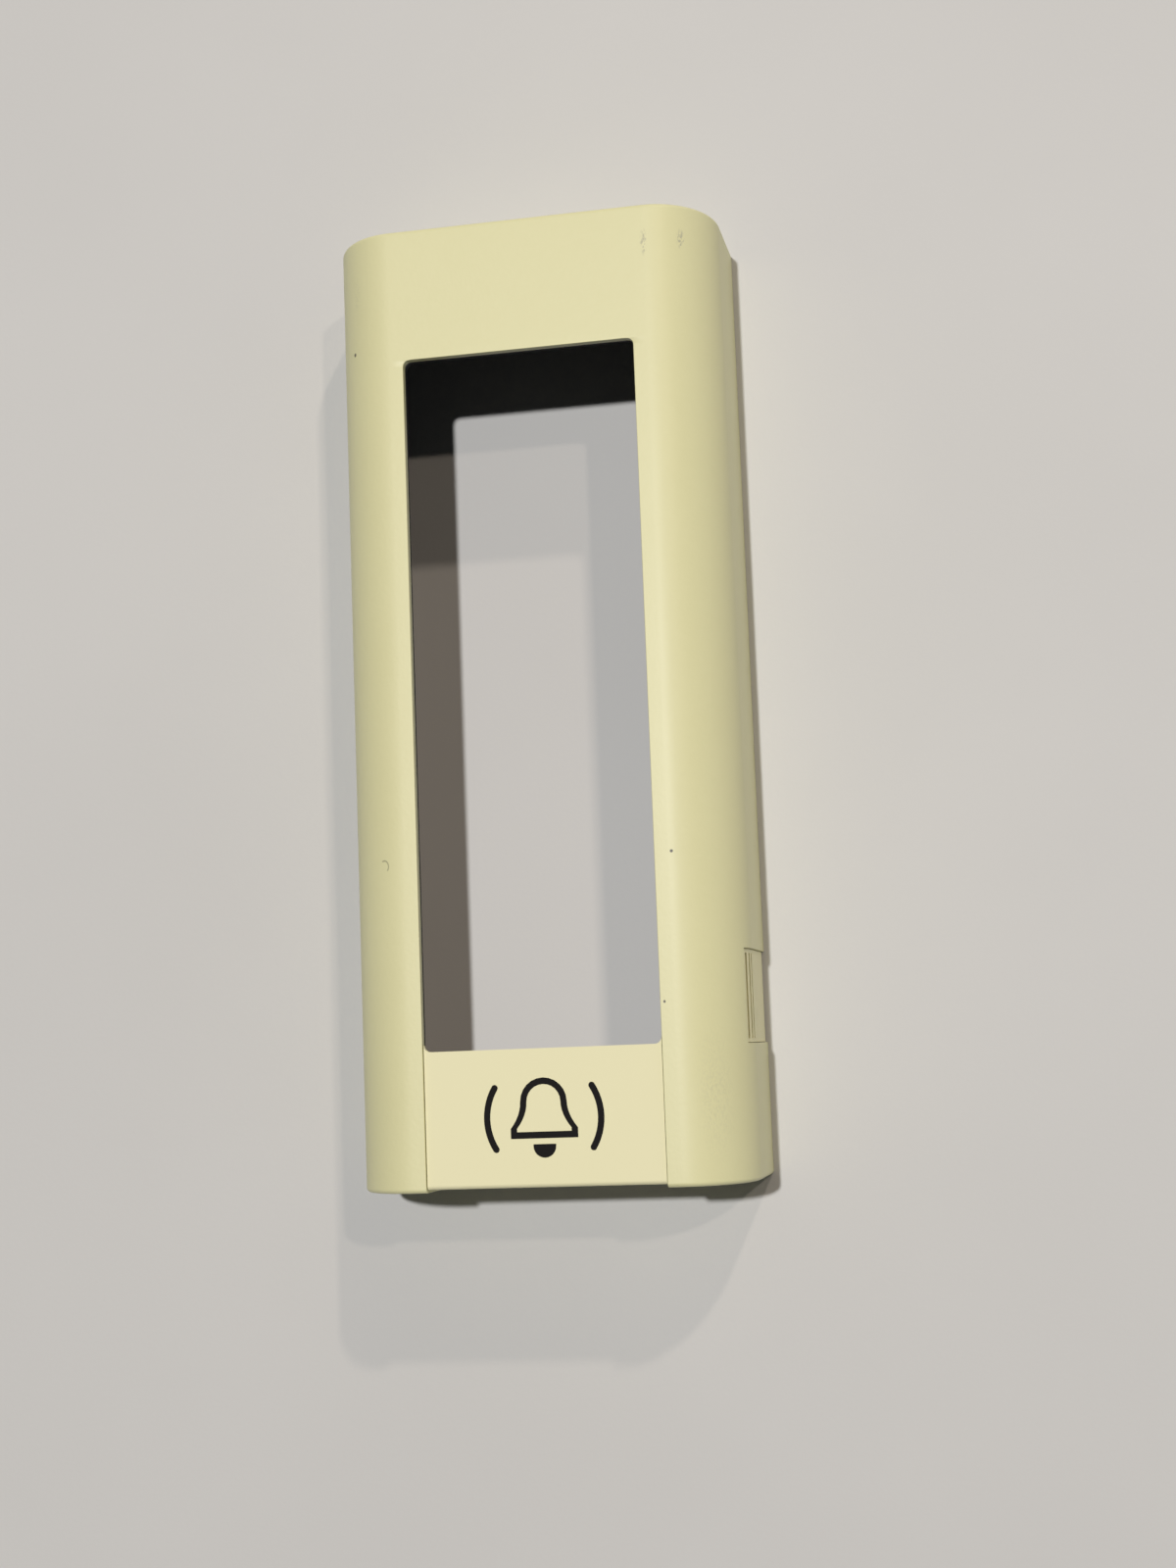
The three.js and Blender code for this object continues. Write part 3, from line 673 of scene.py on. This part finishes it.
def kept_cells(sizes, y, columns, side):
    """The cells of a skin's grid that are there: all but the window with the panel's pocket, and the notch.

    A cell is placed by the middle of its two rows. The window lies between the columns numbered side from
    both edges, and the notch in the right wall.
    """
    middle = ((y[:-1] + y[1:]) / 2)[:, None]
    column = np.arange(columns - 1)
    in_window = (middle < sizes.window_high) & (column >= side) & (column < columns - 1 - side)
    beside_notch = (middle > -sizes.notch_low) & (middle < -sizes.notch_high)
    in_notch = beside_notch & (column < WALL_STEPS + ROUND_STEPS_BELOW)
    return ~(in_window | in_notch)


def shell_mesh(sizes):
    """The shell's points and faces: an outer and an inner skin of one grid, joined along every open edge.

    The ends are flat faces, whole at the top and in two wings at the bottom. Each wing has one more point,
    at the foot of the panel's pocket.
    """
    y, shift = shell_rows(sizes)
    outer_rows = rounded_ends(y, shift, sizes.length / 2, 0.0, sizes.end_round)
    inner_rows = rounded_ends(y, shift, sizes.length / 2 - sizes.wall, sizes.wall, sizes.inner_round)
    skins = [shell_skin(sizes, *rows) for rows in (outer_rows, inner_rows)]
    rows, columns = skins[0].shape[:2]
    side = WALL_STEPS + ROUND_STEPS_BELOW + ROUND_STEPS_ABOVE + 1
    quads = grid_faces(rows, columns, kept_cells(sizes, outer_rows[0], columns, side))
    grid_count = rows * columns
    top = np.arange(grid_count - columns, grid_count)[::-1]
    right_foot, left_foot = grid_count, grid_count + 1
    right_wing = np.append(np.arange(side + 1), right_foot)
    left_wing = np.append(np.arange(columns - 1 - side, columns), left_foot)
    groups = [quads, top[None], right_wing[None], left_wing[None]]
    count = grid_count + 2
    points = []
    for skin in skins:
        foot_y = skin[0, 0, 1]
        foot_points = [[sizes.window_half, foot_y, 0.0], [-sizes.window_half, foot_y, 0.0]]
        points.append(np.concatenate([skin.reshape(-1, 3), foot_points]))
    groups += [group[:, ::-1] + count for group in groups] + [side_faces(groups, count)]
    return np.concatenate(points), [face for group in groups for face in group.tolist()]


# ---- Heat stakes ----------------------------------------------------------------------------------

TURN_STEPS = 40
PROFILE_STEPS = 6
HEAD_FLAT = 1 / 3  # the flat middle of a stake's head, as a share of the head's radius
HEAD_DOME = 0.8  # the domed part of the head, as a share of its height


def turned_mesh(profile, centre, first_number=0):
    """A profile of (radius, height) turned about an upright line, with its points numbered from first_number.

    From the centre, x and y are the radius times cos t and sin t. Flat faces close both ends of the profile.
    """
    turn = np.linspace(0, 2 * np.pi, TURN_STEPS, endpoint=False)
    radius, height = np.asarray(profile).T
    x = centre[0] + radius[:, None] * np.cos(turn)
    y = centre[1] + radius[:, None] * np.sin(turn)
    z = np.broadcast_to(height[:, None], x.shape)
    points = np.stack([x, y, z], axis=-1).reshape(-1, 3)
    numbers = np.arange(len(points)).reshape(x.shape)
    following = np.roll(numbers, -1, axis=1)
    quads = np.stack([numbers[:-1], following[:-1], following[1:], numbers[1:]], axis=-1).reshape(-1, 4)
    faces = [*quads, numbers[0][::-1], numbers[-1]]
    return points, [(face + first_number).tolist() for face in faces]


def stake_profile(sizes):
    """A stake's outline from its head's lower side up.

    A flat, a quarter ellipse out to the head's edge, a small quarter round back in over its rim, the shank,
    and a root inside the shell's wall.
    """
    turn = np.linspace(0, RIGHT_ANGLE, PROFILE_STEPS + 1)
    flat = sizes.head_radius * HEAD_FLAT
    dome = (sizes.head_high - sizes.head_low) * HEAD_DOME
    rim = sizes.head_high - sizes.head_low - dome
    dome_radius = flat + (sizes.head_radius - flat) * np.sin(turn)
    dome_height = sizes.head_low + dome * (1 - np.cos(turn))
    rim_radius = sizes.head_radius - rim * (1 - np.cos(turn[1:]))
    rim_height = sizes.head_low + dome + rim * np.sin(turn[1:])
    head = np.stack([np.append(dome_radius, rim_radius), np.append(dome_height, rim_height)], axis=1)
    return np.concatenate([head, [(sizes.radius, sizes.head_high), (sizes.radius, sizes.root)]])


# ---- Operators ------------------------------------------------------------------------------------


class DOORBELL_OT_front_shell(bpy.types.Operator):
    """Build the painted shell with its window, the panel's pocket and the grille's notch"""

    bl_idname = "doorbell.front_shell"
    bl_label = "Front shell"

    def execute(self, context):
        sizes = context.scene.doorbell_shell
        points, faces = shell_mesh(sizes)
        material = ivory_paint(context.scene.doorbell_colours)
        shell = new_piece("painted_front_shell", points, faces, "cover", material)
        soften(shell, sizes.edge, sizes.edge_steps)
        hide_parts("front_shell")
        return {"FINISHED"}


class DOORBELL_OT_heat_stakes(bpy.types.Operator):
    """Build the two melted stakes that hold the carrier"""

    bl_idname = "doorbell.heat_stakes"
    bl_label = "Heat stakes"

    def execute(self, context):
        sizes = context.scene.doorbell_stakes
        profile = stake_profile(sizes)
        left, left_faces = turned_mesh(profile, (-sizes.spacing / 2, sizes.along))
        right, right_faces = turned_mesh(profile, (sizes.spacing / 2, sizes.along), len(left))
        points = np.concatenate([left, right])
        material = bpy.data.materials["ivory_paint"]
        new_piece("heat_stakes", points, left_faces + right_faces, "cover", material)
        return {"FINISHED"}


class DOORBELL_OT_lower_panel(bpy.types.Operator):
    """Finish the sunk panel below the window"""

    bl_idname = "doorbell.lower_panel"
    bl_label = "Lower panel"

    def execute(self, context):
        dress_node("lower_panel", bpy.data.materials["ivory_paint"], edge=0.04 * MM, steps=1)
        return {"FINISHED"}


class DOORBELL_OT_bell_mark(bpy.types.Operator):
    """Finish the four inlaid pieces of the bell mark"""

    bl_idname = "doorbell.bell_mark"
    bl_label = "Bell mark"

    def execute(self, context):
        material = mark_ink(context.scene.doorbell_colours)
        for name in ("outline", "clapper", "wave_left", "wave_right"):
            dress_node(f"bell_mark_{name}", material, edge=0.03 * MM, steps=1)
        return {"FINISHED"}


class DOORBELL_OT_speaker_grille(bpy.types.Operator):
    """Finish the slotted grille in the right wall"""

    bl_idname = "doorbell.speaker_grille"
    bl_label = "Speaker grille"

    def execute(self, context):
        dress_node("speaker_grille", bpy.data.materials["ivory_paint"], edge=0.05 * MM)
        return {"FINISHED"}


class DOORBELL_OT_grille_cloth(bpy.types.Operator):
    """Finish the acoustic cloth behind the slots"""

    bl_idname = "doorbell.grille_cloth"
    bl_label = "Grille cloth"

    def execute(self, context):
        dress_node("grille_cloth", woven_cloth(context.scene.doorbell_colours))
        return {"FINISHED"}


class DOORBELL_OT_inner_carrier(bpy.types.Operator):
    """Finish the black carrier inside the shell"""

    bl_idname = "doorbell.inner_carrier"
    bl_label = "Inner carrier"

    def execute(self, context):
        dress_node("inner_frame", black_plastic(context.scene.doorbell_colours), edge=0.12 * MM)
        return {"FINISHED"}


class DOORBELL_OT_window_seal(bpy.types.Operator):
    """Finish the foam strip all round the window"""

    bl_idname = "doorbell.window_seal"
    bl_label = "Window seal"

    def execute(self, context):
        dress_node("window_seal", open_foam(context.scene.doorbell_colours), edge=0.15 * MM)
        return {"FINISHED"}


class DOORBELL_OT_snap_arms(bpy.types.Operator):
    """Finish the four sprung arms"""

    bl_idname = "doorbell.snap_arms"
    bl_label = "Snap arms"

    def execute(self, context):
        material = bpy.data.materials["black_plastic"]
        for side in ("left", "right"):
            for end in ("upper", "lower"):
                dress_node(f"snap_arm_{side}_{end}", material, edge=0.12 * MM)
        return {"FINISHED"}


class DOORBELL_OT_captive_screw(bpy.types.Operator):
    """Finish the security screw and its nylon retainer"""

    bl_idname = "doorbell.captive_screw"
    bl_label = "Captive screw"

    def execute(self, context):
        colours = context.scene.doorbell_colours
        dress_node("security_screw", turned_steel(colours), edge=0.06 * MM)
        dress_node("screw_retainer", moulded_nylon(colours), edge=0.1 * MM)
        return {"FINISHED"}


# ---- Stage ----------------------------------------------------------------------------------------

FLOOR_STEPS = 8
FLOOR_DROP = 0.01 * MM  # the floor lies this far below the rim
CAMERA_PLACE = (0.05678, -0.04117, 0.26919)  # metres, as the lights' places are
CAMERA_TURN = (6.298, 11.636, -2.193)  # degrees about X, then Y, then Z
CAMERA_SENSOR = 36  # width in millimetres
CAMERA_NEAREST = 5 * MM
KEY_PLACE = (-0.075, 0.166, 1.480)
SIDE_PLACE = (0.740, 0.500, 1.480)
UPPER_PLACE = (0.544, 1.041, 1.000)
KEY_COLOUR = (1.0, 0.99, 0.985)
SIDE_COLOUR = (1.0, 0.86, 0.72)
ROOM_COLOUR = (0.93, 0.97, 1.0)
WALLS_FULL = 0.30  # the room's walls are whole up to here, as the sine of the angle above the floor
WALLS_END = 0.55  # and the ceiling is whole from here on
WALLS_RIGHT = 0.70  # how much brighter the walls are on the right than in the middle
WALLS_FAR = 0.60  # the same for the walls beyond the cover's upper end


def lay_table(half, material):
    """A flat square floor in even steps, half its width from the middle to each side."""
    steps = np.linspace(-half, half, FLOOR_STEPS + 1)
    y, x = np.meshgrid(steps, steps, indexing="ij")
    points = np.stack([x, y, np.full_like(x, -FLOOR_DROP)], axis=-1).reshape(-1, 3)
    every_cell = np.ones((FLOOR_STEPS, FLOOR_STEPS), dtype=bool)
    faces = grid_faces(FLOOR_STEPS + 1, FLOOR_STEPS + 1, every_cell)[:, ::-1]
    mesh = bpy.data.meshes.new("table_top")
    mesh.from_pydata(points.tolist(), [], faces.tolist())
    mesh.materials.append(material)
    new_object("table_top", mesh)


def round_light(name, power, size, colour, place):
    """A round light at a place, facing the origin."""
    data = bpy.data.lights.new(name, "AREA")
    data.shape = "DISK"
    data.size = size
    data.energy = power
    data.color = colour
    turn = Vector(place).to_track_quat("Z", "Y").to_matrix().to_4x4()
    new_object(name, data).matrix_world = Matrix.Translation(place) @ turn


def light_room(walls, ceiling):
    """A dim room all round: walls that are brighter on the right and beyond the cover, and a dark ceiling."""
    world = bpy.data.worlds.new("room")
    bpy.context.scene.world = world
    room = Finish(world)
    towards = room.add("ShaderNodeTexCoord", output="Generated")
    aside, along, rise = room.axes(towards)
    wall = room.ramp(rise, none=WALLS_END, full=WALLS_FULL) * (aside * WALLS_RIGHT + along * WALLS_FAR + 1)
    strength = wall * (walls - ceiling) + ceiling
    glow = room.add("ShaderNodeBackground", sockets={"Color": opaque(ROOM_COLOUR), "Strength": strength})
    room.add("ShaderNodeOutputWorld", sockets={"Surface": glow})


def set_camera(focal_length):
    """The scene's camera, a little to the right of the cover and nearly overhead."""
    lens = bpy.data.cameras.new("camera")
    lens.sensor_width = CAMERA_SENSOR
    lens.lens = focal_length
    lens.clip_start = CAMERA_NEAREST
    turn = Euler(np.radians(CAMERA_TURN)).to_matrix().to_4x4()
    camera = new_object("camera", lens)
    camera.matrix_world = Matrix.Translation(CAMERA_PLACE) @ turn
    bpy.context.scene.camera = camera


class DOORBELL_OT_stage(bpy.types.Operator):
    """Set the floor, the lights and the camera"""

    bl_idname = "doorbell.stage"
    bl_label = "Stage"

    def execute(self, context):
        settings = context.scene.doorbell_stage
        size = settings.light_size
        lay_table(settings.floor_half, pale_table(context.scene.doorbell_colours))
        round_light("key_light", settings.key_power, size, KEY_COLOUR, KEY_PLACE)
        round_light("side_light", settings.side_power, size, SIDE_COLOUR, SIDE_PLACE)
        round_light("upper_light", settings.upper_power, size, SIDE_COLOUR, UPPER_PLACE)
        light_room(settings.room_low, settings.room_high)
        set_camera(settings.lens)
        context.scene.view_settings.view_transform = "Standard"
        return {"FINISHED"}


# ---- Panel and registration -----------------------------------------------------------------------


class DOORBELL_PT_cover(bpy.types.Panel):
    """Sizes, colours and the pieces in building order"""

    bl_label = "Doorbell cover"
    bl_idname = "DOORBELL_PT_cover"
    bl_space_type = "VIEW_3D"
    bl_region_type = "UI"
    bl_category = "Doorbell cover"

    def draw(self, context):
        for operator in OPERATORS:
            self.layout.operator(operator.bl_idname)
        for group in (getattr(context.scene, name) for name in GROUPS):
            box = self.layout.box()
            for name in group.__annotations__:
                box.prop(group, name)


OPERATORS = (
    DOORBELL_OT_front_shell,
    DOORBELL_OT_heat_stakes,
    DOORBELL_OT_lower_panel,
    DOORBELL_OT_bell_mark,
    DOORBELL_OT_speaker_grille,
    DOORBELL_OT_grille_cloth,
    DOORBELL_OT_inner_carrier,
    DOORBELL_OT_window_seal,
    DOORBELL_OT_snap_arms,
    DOORBELL_OT_captive_screw,
    DOORBELL_OT_stage,
)
GROUPS = {
    "doorbell_shell": ShellSizes,
    "doorbell_stakes": StakeSizes,
    "doorbell_colours": FinishColours,
    "doorbell_stage": StageSettings,
}


def register():
    """Adds the classes, and one group of settings of each kind to every scene."""
    for group in GROUPS.values():
        bpy.utils.register_class(group)
    for operator in OPERATORS:
        bpy.utils.register_class(operator)
    bpy.utils.register_class(DOORBELL_PT_cover)
    for name, group in GROUPS.items():
        setattr(bpy.types.Scene, name, PointerProperty(type=group))


def unregister():
    """Takes away what register added, in the opposite order."""
    for name in GROUPS:
        delattr(bpy.types.Scene, name)
    for kind in (DOORBELL_PT_cover, *OPERATORS, *GROUPS.values()):
        bpy.utils.unregister_class(kind)


def main():
    """Registers the add-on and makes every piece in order."""
    register()
    for operator in OPERATORS:
        getattr(bpy.ops.doorbell, operator.bl_idname.split(".")[1])()


if __name__ == "__main__":
    main()
